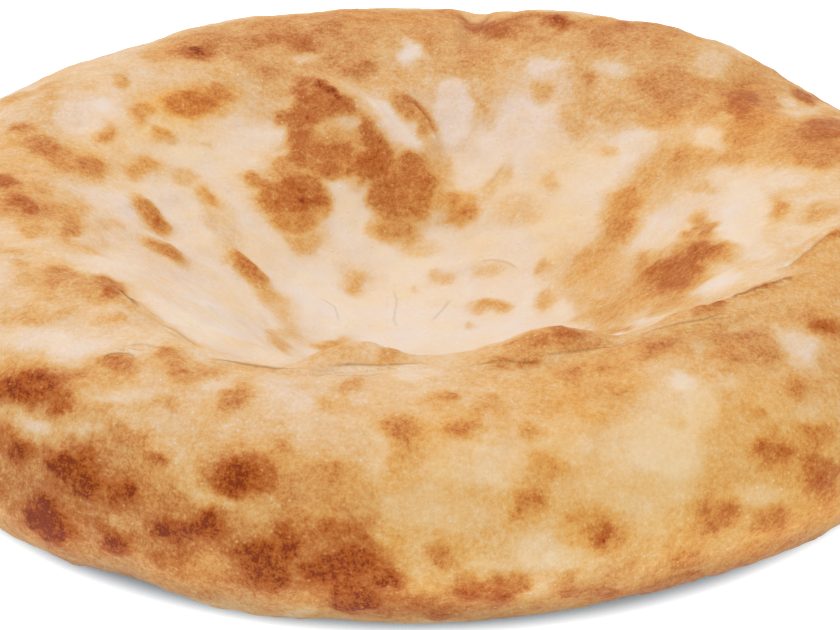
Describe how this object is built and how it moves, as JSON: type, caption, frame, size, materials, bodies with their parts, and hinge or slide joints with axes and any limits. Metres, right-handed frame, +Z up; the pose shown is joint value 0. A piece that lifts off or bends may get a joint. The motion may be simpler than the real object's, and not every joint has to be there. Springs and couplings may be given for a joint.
{
  "type": "round tandoor bread",
  "caption": "Round tandoor bread with a thick puffed rim round a wide dished middle, soft folds and a blistered golden crust; lies on its flat underside",
  "frame": {"origin": "middle of the flat underside, on the surface the loaf lies on", "axes": "+Z up out of the dish; +X to the right and +Y to the back, as the picture shows the loaf"},
  "size_m": [0.301, 0.2958, 0.0593],
  "materials": {
    "baked_crust": "matt baked wheat crust, cream to golden with brown blister spots"
  },
  "bodies": {
    "root": {"bread": "baked_crust"}
  },
  "joints": []
}
